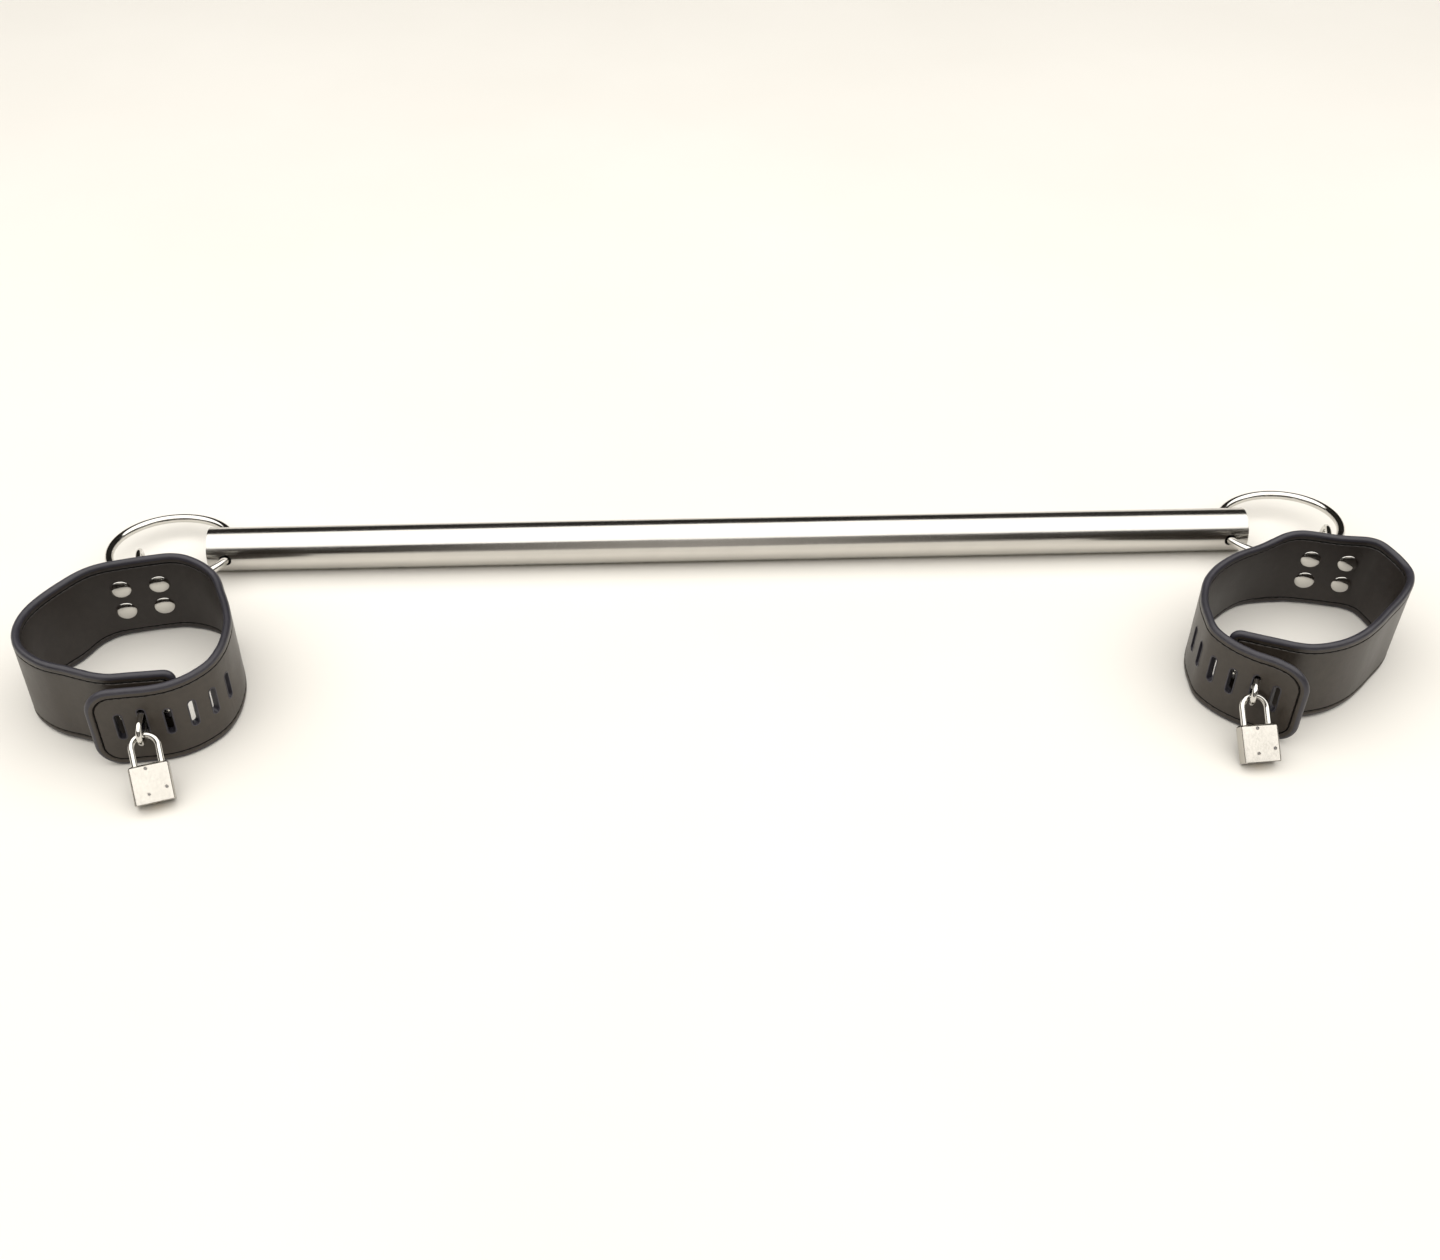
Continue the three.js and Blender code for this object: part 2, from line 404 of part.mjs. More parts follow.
    // spring behind the bolt
    const sl0 = BOLT_X1 + 0.35, sl1 = SPRING_END - 0.35, wr = 0.25, cr = 0.8, turns = 3, n = 30;
    class Helix extends THREE.Curve { getPoint(u, o = new THREE.Vector3()) { const a = u * turns * 2 * Math.PI; return o.set(sl0 + wr + (sl1 - sl0 - 2 * wr) * u, cr * Math.cos(a), by0 + cr * Math.sin(a)); } }
    const c5 = new THREE.Shape(); arc(0, 0, wr, 0, 300, 5).forEach(([x, y], i) => (i ? c5.lineTo(x, y) : c5.moveTo(x, y))); c5.closePath();
    put('padlock_' + tag + '_bolt_spring', solid(new THREE.ExtrudeGeometry(c5, { steps: n, extrudePath: new Helix(), bevelEnabled: false })), STEEL());
    // plug with keyway and tail
    let plug = bore(0, 0, PLUG_R, B - LOCK_H + 0.25, B - PLUG_TOP, 18).add(bore(-TAIL_OFF, 0, TAIL_R, B - PLUG_TOP - 0.5, by0 - 0.1, 8));
    plug = plug.subtract(solid(box(-2.1, 2.1, -0.45, 0.45, B - LOCK_H - 1, B - PLUG_TOP - 2.5)));
    put('padlock_' + tag + '_lock_plug', plug, BRASS());
  }
}
buildSide(-1, 'left', LEFT_PLAN, LEFT_BACK_X, RING_TILT_LEFT, LEFT_YAW);
buildSide(1, 'right', RIGHT_PLAN, RIGHT_BACK_X, RING_TILT_RIGHT, RIGHT_YAW);

export default group;
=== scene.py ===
import math
import bpy
import bmesh
import numpy as np
from mathutils import Matrix, Vector


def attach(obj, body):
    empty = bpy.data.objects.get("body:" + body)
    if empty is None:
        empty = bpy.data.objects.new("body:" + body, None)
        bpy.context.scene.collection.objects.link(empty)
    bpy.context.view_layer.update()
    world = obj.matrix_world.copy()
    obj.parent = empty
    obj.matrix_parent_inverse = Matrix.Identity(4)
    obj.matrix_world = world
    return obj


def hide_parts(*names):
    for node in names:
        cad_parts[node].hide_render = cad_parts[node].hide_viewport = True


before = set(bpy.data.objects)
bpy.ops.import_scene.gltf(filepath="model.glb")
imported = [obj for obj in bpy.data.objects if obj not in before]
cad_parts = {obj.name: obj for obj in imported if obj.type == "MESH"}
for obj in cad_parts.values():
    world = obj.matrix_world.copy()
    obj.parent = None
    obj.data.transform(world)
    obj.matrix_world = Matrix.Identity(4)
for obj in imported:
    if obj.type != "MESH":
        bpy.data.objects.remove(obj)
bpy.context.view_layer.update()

# ------------------------------------------------------------------ constants (mm)
OX, OY = -6.2297, -80.6006
BAR_LEN, BAR_R, BAR_WALL, BAR_Z = 610.0, 12.7, 1.6, 12.7
HOLE_FROM_END, HOLE_R, HOLE_TILT = 10.5, 3.5, 6.0
RING_R, RING_W = 35.0, 2.5
T_HALF, STRAP_W = 2.1, 50.8
TAB_R, TIP_R, UNDER_RAISE = 14.0, 6.0, 1.5
SLOT_FIRST, SLOT_PITCH, SLOT_COUNT, SLOT_W, SLOT_L, SLOT_Z = 15.4, 11.9, 6, 3.6, 16.5, 27.0
DEE_W, DEE_H, DEE_S, DEE_Z = 1.6, 14.5, 14.0, 25.4
KEEP_W, KEEP_H, KEEP_T = 34.0, 25.0, 1.7
BRX, BRZ, BRC = 10.2, 7.6, 26.4
ST_W, ST_H, ST_REACH, ST_Z = 1.5, 5.75, 24.5, 29.5
PL_W, PL_H, PL_T, FRX = 28.0, 15.0, 1.2, 10.5
LK_W, LK_H, LK_T = 20.0, 20.0, 8.5
SH_W, SH_A, SH_B = 1.6, 6.6, 15.0
LEAN = 47.5
LEFT = [[-290,-148.4],[-297,-148.8],[-305,-149.3],[-313,-149.8],[-323,-150.4],[-331,-148.8],[-338,-146.2],[-345.5,-143.2],[-357.7,-138.6],[-366.6,-132.6],[-373.8,-124.9],[-377.9,-116.1],[-379.1,-107],[-377.7,-97],[-373.5,-86.5],[-367.2,-76.4],[-359.8,-68.3],[-353.8,-64.0],[-347.6,-61.42],[-343.73,-60.37],[-335.88,-58.84],[-329.5,-57.6],[-322.14,-56.17],[-315.27,-54.83],[-311.3,-54.27],[-303.4,-55.3],[-292.6,-61.4],[-283.8,-71.0],[-278.5,-83.6],[-273.9,-95.9],[-270.9,-108],[-270.3,-119.8],[-271.3,-129.8],[-275.0,-140.6],[-283.0,-149.9],[-292.3,-155.8],[-301.7,-158.6],[-314,-160.0],[-324.8,-161.2],[-334.5,-162.4]]
RIGHT = [[253,-135.2],[257.5,-136.9],[263.2,-139.1],[271.3,-142.2],[277.5,-144.5],[284.5,-147.1],[292.8,-148.6],[302.9,-147.4],[312.8,-144.2],[323.7,-138.0],[333.6,-129.6],[343.3,-119.8],[352.9,-110.0],[359.8,-101.6],[364.6,-93.4],[366.6,-85.6],[365.2,-77.6],[361.2,-70.2],[357.0,-64.6],[351.85,-61.42],[348.43,-60.22],[340.83,-58.46],[334.5,-57.0],[327.19,-55.31],[320.57,-53.78],[316.43,-53.03],[308.6,-53.4],[299.4,-56.8],[289.7,-61.8],[279.7,-67.4],[269.8,-73.8],[260.5,-81.4],[253.2,-90.5],[248.9,-100.1],[246.3,-109.7],[245.5,-120.7],[246.0,-131.4],[251.8,-142.2],[261.4,-151.6],[271.2,-157.8],[279.6,-165.5],[286.6,-170.7]]
SIDES = {"left": dict(s=-1, plan=LEFT, back=-329.5, tilt=1.0, yaw=16.0), "right": dict(s=1, plan=RIGHT, back=334.5, tilt=4.0, yaw=4.0)}
rad = math.radians
A = np.array

# ------------------------------------------------------------------ materials
def new_mat(name):
    m = bpy.data.materials.new(name)
    m.use_nodes = True
    n = m.node_tree
    return m, n, n.nodes["Principled BSDF"]

def link(nt, a, b):
    nt.links.new(a, b)

def ramp(nt, stops):
    r = nt.nodes.new("ShaderNodeValToRGB")
    while len(r.color_ramp.elements) < len(stops):
        r.color_ramp.elements.new(0.5)
    for e, (p, c) in zip(r.color_ramp.elements, stops):
        e.position = p
        e.color = (*c, 1) if len(c) == 3 else c
    return r

def noise(nt, scale, detail=4.0, rough=0.55, stretch=None, distortion=0.0):
    tc = nt.nodes.new("ShaderNodeTexCoord")
    mp = nt.nodes.new("ShaderNodeMapping")
    if stretch:
        mp.inputs["Scale"].default_value = stretch
    nt.links.new(tc.outputs["Object"], mp.inputs["Vector"])
    t = nt.nodes.new("ShaderNodeTexNoise")
    t.inputs["Scale"].default_value = scale
    t.inputs["Detail"].default_value = detail
    t.inputs["Roughness"].default_value = rough
    t.inputs["Distortion"].default_value = distortion
    nt.links.new(mp.outputs["Vector"], t.inputs["Vector"])
    return t, mp

def metal(name, colour, rough_lo, rough_hi, dark=0.9, scratch=0.02, stretch=(1, 1, 1)):
    m, nt, p = new_mat(name)
    p.inputs["Metallic"].default_value = 1.0
    cloud, _ = noise(nt, 60.0, 5.0)
    fine, _ = noise(nt, 900.0, 3.0, 0.6, stretch)
    c = ramp(nt, [(0.3, tuple(x * dark for x in colour)), (0.7, colour)])
    link(nt, cloud.outputs["Fac"], c.inputs["Fac"])
    link(nt, c.outputs["Color"], p.inputs["Base Color"])
    mr = nt.nodes.new("ShaderNodeMapRange")
    mr.inputs["From Min"].default_value = 0.3
    mr.inputs["From Max"].default_value = 0.7
    mr.inputs["To Min"].default_value = rough_lo
    mr.inputs["To Max"].default_value = rough_hi
    link(nt, fine.outputs["Fac"], mr.inputs["Value"])
    link(nt, mr.outputs["Result"], p.inputs["Roughness"])
    b = nt.nodes.new("ShaderNodeBump")
    b.inputs["Strength"].default_value = scratch
    b.inputs["Distance"].default_value = 0.0002
    link(nt, fine.outputs["Fac"], b.inputs["Height"])
    link(nt, b.outputs["Normal"], p.inputs["Normal"])
    return m

CHROME_BAR = metal("chrome_bar", (0.59, 0.572, 0.54), 0.14, 0.22, 0.95, 0.03, (0.02, 1, 1))
CHROME = metal("chrome_wire", (0.66, 0.645, 0.61), 0.06, 0.13, 0.94, 0.02)
LOCKMETAL = metal("padlock_nickel", (0.55, 0.525, 0.48), 0.15, 0.25, 0.90, 0.05, (1, 0.1, 1))
STEEL = metal("plain_steel", (0.42, 0.42, 0.43), 0.28, 0.45, 0.8, 0.08)
BRASS = metal("brass", (0.62, 0.45, 0.2), 0.2, 0.35, 0.8, 0.06)
DARKMETAL = metal("pin_steel", (0.25, 0.24, 0.23), 0.3, 0.45, 0.7, 0.06)

def leather(name, base, light, rough, grain, spec=0.5, sheen=0.0):
    m, nt, p = new_mat(name)
    big, _ = noise(nt, 16.0, 5.0, 0.5, None, 0.6)
    mid, _ = noise(nt, 240.0, 6.0, 0.62)
    crease, _ = noise(nt, 70.0, 3.0, 0.5, (1, 1, 0.35), 1.5)
    tc = nt.nodes.new("ShaderNodeTexCoord")
    vor = nt.nodes.new("ShaderNodeTexVoronoi")
    vor.feature = "DISTANCE_TO_EDGE"
    vor.inputs["Scale"].default_value = 900.0
    link(nt, tc.outputs["Object"], vor.inputs["Vector"])
    c = ramp(nt, [(0.3, base), (0.72, light)])
    mix = nt.nodes.new("ShaderNodeMath"); mix.operation = "MULTIPLY_ADD"
    mix.inputs[1].default_value = 0.35
    link(nt, mid.outputs["Fac"], mix.inputs[0])
    sc = nt.nodes.new("ShaderNodeMath"); sc.operation = "MULTIPLY"; sc.inputs[1].default_value = 0.68
    link(nt, big.outputs["Fac"], sc.inputs[0])
    link(nt, sc.outputs[0], mix.inputs[2])
    link(nt, mix.outputs[0], c.inputs["Fac"])
    link(nt, c.outputs["Color"], p.inputs["Base Color"])
    mr = nt.nodes.new("ShaderNodeMapRange")
    mr.inputs["From Min"].default_value = 0.3; mr.inputs["From Max"].default_value = 0.7
    mr.inputs["To Min"].default_value = rough - 0.08; mr.inputs["To Max"].default_value = rough + 0.08
    link(nt, big.outputs["Fac"], mr.inputs["Value"])
    link(nt, mr.outputs["Result"], p.inputs["Roughness"])
    pore = nt.nodes.new("ShaderNodeMapRange")
    pore.inputs["From Min"].default_value = 0.0; pore.inputs["From Max"].default_value = 0.12
    link(nt, vor.outputs["Distance"], pore.inputs["Value"])
    add = nt.nodes.new("ShaderNodeMath"); add.operation = "MULTIPLY_ADD"; add.inputs[1].default_value = 0.35
    link(nt, pore.outputs["Result"], add.inputs[0]); link(nt, mid.outputs["Fac"], add.inputs[2])
    b = nt.nodes.new("ShaderNodeBump")
    b.inputs["Strength"].default_value = grain
    b.inputs["Distance"].default_value = 0.0003
    link(nt, add.outputs[0], b.inputs["Height"])
    b2 = nt.nodes.new("ShaderNodeBump")
    b2.inputs["Strength"].default_value = grain * 0.8
    b2.inputs["Distance"].default_value = 0.0012
    link(nt, crease.outputs["Fac"], b2.inputs["Height"])
    link(nt, b.outputs["Normal"], b2.inputs["Normal"])
    link(nt, b2.outputs["Normal"], p.inputs["Normal"])
    p.inputs["Specular IOR Level"].default_value = spec
    p.inputs["Sheen Weight"].default_value = sheen
    p.inputs["Sheen Roughness"].default_value = 0.4
    return m

LEATHER = leather("leather_face", (0.022, 0.0165, 0.0122), (0.050, 0.039, 0.029), 0.40, 0.16, 0.5, 0.0)
LINING = leather("leather_lining", (0.014, 0.0103, 0.0088), (0.034, 0.026, 0.0215), 0.46, 0.20, 0.45, 0.0)
# rolled-edge leather: its blue-grey tint is painted sheen, the overhead light reflected on the rounded rim, set into
# the base colour
EDGE_PAINTED_SHEEN = leather("leather_edge_painted_sheen", (0.017, 0.0158, 0.0215), (0.040, 0.037, 0.048), 0.40, 0.10, 0.5, 0.03)
THREAD = leather("thread", (0.002, 0.0017, 0.0015), (0.007, 0.006, 0.005), 0.7, 0.3, 0.15)

# ------------------------------------------------------------------ mesh helpers
def P(x, y, z):
    return ((x - OX) / 1000.0, (y - OY) / 1000.0, z / 1000.0)

def W(v):  # world mm vector -> metres in the row frame
    return P(v[0], v[1], v[2])

def mesh(name, verts, faces, mats, angle=35.0, index=None, smooth=True):
    me = bpy.data.meshes.new(name)
    me.from_pydata([tuple(float(c) for c in v) for v in verts], [], [tuple(int(i) for i in f) for f in faces])
    me.validate()
    for m in mats:
        me.materials.append(m)
    if index is not None:
        for poly, i in zip(me.polygons, index):
            poly.material_index = i
    bm = bmesh.new(); bm.from_mesh(me)
    bmesh.ops.recalc_face_normals(bm, faces=bm.faces)
    bm.to_mesh(me); bm.free()
    ob = bpy.data.objects.new(name, me)
    bpy.context.scene.collection.objects.link(ob)
    if smooth:
        finish_smooth(ob, angle)
    return ob

def finish_smooth(ob, angle):
    for poly in ob.data.polygons:
        poly.use_smooth = True
    ob.data.set_sharp_from_angle(angle=rad(angle))

def grid_tube(rings, closed, caps=True):
    """rings: list of arrays (k,3); returns verts, faces."""
    N, K = len(rings), len(rings[0])
    verts = np.concatenate(rings)
    faces = []
    for i in range(N if closed else N - 1):
        j = (i + 1) % N
        for k in range(K):
            l = (k + 1) % K
            faces.append((i * K + k, i * K + l, j * K + l, j * K + k))
    if not closed and caps:
        faces.append(tuple(range(K - 1, -1, -1)))
        faces.append(tuple((N - 1) * K + k for k in range(K)))
    return verts, faces

def sweep(points, n, r, seg, closed, radii=None):
    pts = [A(p, float) for p in points]; n = A(n, float)
    N = len(pts); rings = []
    for i in range(N):
        a = pts[(i - 1) % N] if closed else pts[max(i - 1, 0)]
        b = pts[(i + 1) % N] if closed else pts[min(i + 1, N - 1)]
        t = b - a; t /= np.linalg.norm(t)
        s = np.cross(t, n); s /= np.linalg.norm(s)
        rr = r if radii is None else radii[i]
        q = (np.arange(seg) + 0.5) / seg * 2 * math.pi
        rings.append(A([W(pts[i] + s * math.cos(x) * rr + n * math.sin(x) * rr) for x in q]))
    return grid_tube(rings, closed)

def lip(points, n, w, h):
    """low rounded welt following a closed line on a face"""
    N = len(points); rings = []
    for i in range(N):
        t = points[(i + 1) % N] - points[i - 1]; t = t / np.linalg.norm(t)
        s = np.cross(t, n)
        rings.append(A([W(points[i] + s * math.cos(rad(a)) * w + n * math.sin(rad(a)) * h) for a in (0, 30, 60, 90, 120, 150, 180, 225, 270, 315)]))
    return grid_tube(rings, True)

def arc(cx, cy, r, a0, a1, n):
    return [(cx + r * math.cos(rad(a0 + (a1 - a0) * i / n)), cy + r * math.sin(rad(a0 + (a1 - a0) * i / n))) for i in range(n + 1)]

def lathe(name, prof, seg, M, mats, angle=30):
    """prof: (r, h) about local axis h; M: function local (x,h,y)->world mm"""
    rings = []; verts = []; faces = []
    for (r, h) in prof:
        if r <= 1e-6:
            verts.append(W(M(0, h, 0))); rings.append([len(verts) - 1])
        else:
            ids = []
            for k in range(seg):
                a = k / seg * 2 * math.pi
                verts.append(W(M(r * math.cos(a), h, r * math.sin(a)))); ids.append(len(verts) - 1)
            rings.append(ids)
    for a, b in zip(rings[:-1], rings[1:]):
        for k in range(seg):
            l = (k + 1) % seg
            if len(a) == 1 and len(b) == 1:
                continue
            if len(a) == 1:
                faces.append((a[0], b[l], b[k]))
            elif len(b) == 1:
                faces.append((a[k], a[l], b[0]))
            else:
                faces.append((a[k], a[l], b[l], b[k]))
    return mesh(name, verts, faces, mats, angle)

def round_profile(pts, r, n=4):
    """rounds the inner corners of an open (r,h) profile"""
    out = [pts[0]]
    for p0, p1, p2 in zip(pts[:-2], pts[1:-1], pts[2:]):
        a, b, c = A(p0, float), A(p1, float), A(p2, float)
        d1, d2 = a - b, c - b
        rr = min(r, np.linalg.norm(d1) * 0.45, np.linalg.norm(d2) * 0.45)
        s = b + d1 / np.linalg.norm(d1) * rr; e = b + d2 / np.linalg.norm(d2) * rr
        for i in range(n + 1):
            t = i / n
            out.append(tuple((1 - t) ** 2 * s + 2 * t * (1 - t) * b + t * t * e))
    out.append(pts[-1])
    return out

def boolean(ob, cutters):
    for c in cutters:
        m = ob.modifiers.new("cut", "BOOLEAN")
        m.operation = "DIFFERENCE"; m.object = c; m.solver = "EXACT"
    dg = bpy.context.evaluated_depsgraph_get()
    me = bpy.data.meshes.new_from_object(ob.evaluated_get(dg))
    ob.modifiers.clear()
    old = ob.data; ob.data = me
    bpy.data.meshes.remove(old)
    for c in cutters:
        d = c.data
        bpy.data.objects.remove(c); bpy.data.meshes.remove(d)
    return ob

def extrude_poly(name, pts, d0, d1, M, mats):
    """pts: (a,b) polygon; extruded along third axis; M(a, d, b) -> world mm"""
    n = len(pts)
    verts = [W(M(a, d0, b)) for a, b in pts] + [W(M(a, d1, b)) for a, b in pts]
    faces = [tuple(range(n)), tuple(range(2 * n - 1, n - 1, -1))]
    faces += [(i, i + n, (i + 1) % n + n, (i + 1) % n) for i in range(n)]
    return mesh(name, verts, faces, mats, 35, smooth=False)

# ------------------------------------------------------------------ path of the strap
class Path:
    def __init__(self, plan):
        pts = A(plan, float); dense = []
        ext = np.vstack([2 * pts[0] - pts[1], pts, 2 * pts[-1] - pts[-2]])
        for i in range(1, len(ext) - 2):
            p0, p1, p2, p3 = ext[i - 1:i + 3]
            d0, d1, d2 = [max(np.linalg.norm(b - a) ** 0.5, 1e-4) for a, b in ((p0, p1), (p1, p2), (p2, p3))]
            t1 = ((p1 - p0) / d0 - (p2 - p0) / (d0 + d1) + (p2 - p1) / d1) * d1
            t2 = ((p2 - p1) / d1 - (p3 - p1) / (d1 + d2) + (p3 - p2) / d2) * d1
            c2 = -3 * p1 + 3 * p2 - 2 * t1 - t2; c3 = 2 * p1 - 2 * p2 + t1 + t2
            for k in range(40):
                u = k / 40.0
                dense.append(p1 + t1 * u + c2 * u * u + c3 * u ** 3)
        dense.append(pts[-1])
        self.q = A(dense)
        self.d = np.r_[0, np.cumsum(np.linalg.norm(np.diff(self.q, axis=0), axis=1))]
        self.len = self.d[-1]
        c = pts.mean(0); m = self.raw(self.len / 2)
        self.sign = 1 if np.dot(m[2], m[0] - c) > 0 else -1

    def raw(self, s):
        s = min(max(s, 0.0), self.len)
        p = A([np.interp(s, self.d, self.q[:, 0]), np.interp(s, self.d, self.q[:, 1])])
        a, b = max(s - 0.6, 0.0), min(s + 0.6, self.len)
        t = A([np.interp(b, self.d, self.q[:, 0]) - np.interp(a, self.d, self.q[:, 0]), np.interp(b, self.d, self.q[:, 1]) - np.interp(a, self.d, self.q[:, 1])])
        t /= np.linalg.norm(t)
        return p, t, A([t[1], -t[0]])

    def at(self, s):
        p, t, n = self.raw(s)
        return A([p[0], p[1], 0.0]), A([t[0], t[1], 0.0]), A([n[0], n[1], 0.0]) * self.sign

    def find(self, x, s0, s1):
        ss = np.arange(s0, s1, 0.25)
        return float(ss[np.argmin([abs(self.raw(s)[0][0] - x) for s in ss])])

def raise_at(s):
    return UNDER_RAISE * max(0.0, 1 - s / 110.0)

def wall(path, s, n, z, up=None):
    """point of the strap: s along, n outwards, z from the lower edge of the strap"""
    p, t, nn = path.at(s)
    lean = float(np.interp(s, path.ls, path.lo)) * (1 - z / STRAP_W) + float(np.interp(s, path.ls, path.lb)) * max(0.0, 1 - z / 12.0) ** 2
    dz = float(np.interp(s, path.ls, path.lz)) * max(0.0, z / STRAP_W) ** 2
    return p + nn * (n + lean) + A([0, 0, raise_at(s) + z + dz])

def shape(path, sback, waves, leans):
    """the lower edge of the wall runs rounder than the upper one, and the upper edge waves a little"""
    L = path.len
    ls = np.arange(0, L, 1.0)
    sst = lambda x, a, b: np.clip((x - a) / (b - a), 0, 1) ** 2 * (3 - 2 * np.clip((x - a) / (b - a), 0, 1))
    mask = sst(np.abs(ls - sback), 13, 48) * sst(ls, 100, 130) * (1 - sst(ls, L - 125, L - 95))
    path.ls = ls; path.lo = mask * sum([a * np.exp(-0.5 * ((ls - c) / w) ** 2) for c, a, w in leans], ls * 0.0)
    path.lb = 2.6 * np.clip(1 - ((ls - sback) / 24.0) ** 2, 0, 1)
    path.lz = sum([a * np.exp(-0.5 * ((ls - c) / w) ** 2) for c, a, w in waves], ls * 0.0)

RIM = [(5.5, T_HALF), (5.15, T_HALF - 0.02), (4.9, T_HALF - 0.4), (4.5, T_HALF - 0.6), (4.1, T_HALF - 0.4), (3.85, T_HALF), (3.4, T_HALF + 0.08), (2.7, T_HALF + 0.08), (2.1, T_HALF)]
RIM += [(2.1 - 2.1 * math.cos(rad(a)), 2.1 * math.sin(rad(a))) for a in (78, 66, 54, 42, 30, 18, 7)]

def strap(name, path):
    L = path.len; H = STRAP_W / 2; K = 10; NS = 270
    def loop(d):
        rt, rb = max(TIP_R - d, 0.05), max(TAB_R - d, 0.05)
        top = [(d + rt - rt * math.cos(rad(a)), H - d - rt + rt * math.sin(rad(a))) for a in np.linspace(0, 90, 9)]
        top += [(x, H - d) for x in np.linspace(d + rt, L - d - rb, NS)[1:-1]]
        top += [(L - d - rb + rb * math.sin(rad(a)), H - d - rb + rb * math.cos(rad(a))) for a in np.linspace(0, 90, 15)]
        end = [(L - d, (H - d - rb) * (1 - 2 * k / K)) for k in range(1, K)]
        beg = [(d, -(H - d - rt) * (1 - 2 * k / K)) for k in range(1, K)]
        return top, top + end + [(x, -z) for x, z in reversed(top)] + beg
    prof = RIM + [(0.0, 0.0)] + [(d, -n) for d, n in reversed(RIM)]
    verts = []; faces = []; idx = []
    N = len(loop(0.0)[0]); M = len(loop(0.0)[1])
    cache = {}
    for d, n in prof:
        if d not in cache: cache[d] = loop(d)[1]
        verts += [W(wall(path, x, n, z + H)) for x, z in cache[d]]
    for i in range(len(prof) - 1):
        (d0, n0), (d1, n1) = prof[i], prof[i + 1]
        dm = (d0 + d1) / 2
        # rounded rim faces (d up to 2.3) get the edge leather, whose blue-grey tint is painted sheen
        m = 3 if 4.0 < dm < 5.0 else (0 if n0 + n1 > 0 else 2) if dm > 2.3 else 1
        for k in range(M):
            l = (k + 1) % M
            faces.append((i * M + k, i * M + l, (i + 1) * M + l, (i + 1) * M + k)); idx.append(m)
    for li, m, sn in ((0, 0, 1), (len(prof) - 1, 2, -1)):
        top = loop(RIM[0][0])[0]; base = li * M; cols = []
        for i in range(N):
            c = [base + i]
            for k in range(1, K):
                if i == 0: c.append(base + M - k)
                elif i == N - 1: c.append(base + N + k - 1)
                else:
                    x, z = top[i]
                    verts.append(W(wall(path, x, sn * T_HALF, z * (1 - 2 * k / K) + H))); c.append(len(verts) - 1)
            c.append(base + 2 * N + K - 2 - i)
            cols.append(c)
        for i in range(N - 1):
            for k in range(K):
                q = (cols[i][k], cols[i + 1][k], cols[i + 1][k + 1], cols[i][k + 1])
                if len(set(q)) > 2: faces.append(q); idx.append(m)
    return mesh(name, verts, faces, [LEATHER, EDGE_PAINTED_SHEEN, LINING, THREAD], 60, idx)

def stadium(w, l, n=8):
    r, h = w / 2, l / 2 - w / 2
    return arc(0, h, r, 0, 180, n) + arc(0, -h, r, 180, 360, n)

def stitches(name, path, sides, mat, inset=4.5, step=4.2, length=3.1, r=0.3):
    """short threads lying in the groove, all the way round each face"""
    verts = []; faces = []
    L = path.len; H = STRAP_W / 2
    rt, rb = TIP_R - inset, TAB_R - inset
    loop = [(inset + rt - rt * math.cos(rad(a)), H - inset - rt + rt * math.sin(rad(a))) for a in np.linspace(0, 90, 20)]
    loop += [(x, H - inset) for x in np.linspace(inset + rt, L - inset - rb, 600)[1:-1]]
    loop += [(L - inset - rb + rb * math.sin(rad(a)), H - inset - rb + rb * math.cos(rad(a))) for a in np.linspace(0, 90, 40)]
    loop = loop + [(x, -z) for x, z in reversed(loop)]
    loop.append(loop[0])
    loop = A(loop); dd = np.r_[0, np.cumsum(np.linalg.norm(np.diff(loop, axis=0), axis=1))]
    count = int(dd[-1] // step); step = dd[-1] / count
    prof = [(0.0, 0.15), (0.12, 0.75), (0.35, 1.0), (0.65, 1.0), (0.88, 0.75), (1.0, 0.15)]
    for sn in sides:
        for j in range(count):
            base = len(verts); cs = []
            for u, k in prof:
                x = j * step + 0.4 + u * length
                s_, z_ = np.interp(x % dd[-1], dd, loop[:, 0]), np.interp(x % dd[-1], dd, loop[:, 1])
                n_ = path.at(s_)[2] * sn
                cs.append((wall(path, s_, sn * (T_HALF - 0.22), z_ + H) - n_ * (0.22 * (2 * u - 1) ** 2), n_, k))
            d = cs[-1][0] - cs[0][0]; d /= np.linalg.norm(d)
            for c, up, k in cs:
                side = np.cross(d, up); side /= np.linalg.norm(side)
                for a in range(6):
                    q = a / 6 * 2 * math.pi
                    verts.append(W(c + side * math.cos(q) * r * k + up * math.sin(q) * r * k))
            for i in range(len(prof) - 1):
                for a in range(6):
                    b = (a + 1) % 6
                    faces.append((base + i * 6 + a, base + i * 6 + b, base + i * 6 + 6 + b, base + i * 6 + 6 + a))
            faces.append(tuple(base + a for a in range(5, -1, -1)))
            faces.append(tuple(base + (len(prof) - 1) * 6 + a for a in range(6)))
    return mesh(name, verts, faces, [mat], 60)

def done(ob, body, slot, *nodes):
    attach(ob, body)
    if nodes:
        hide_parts(*nodes)
    return ob

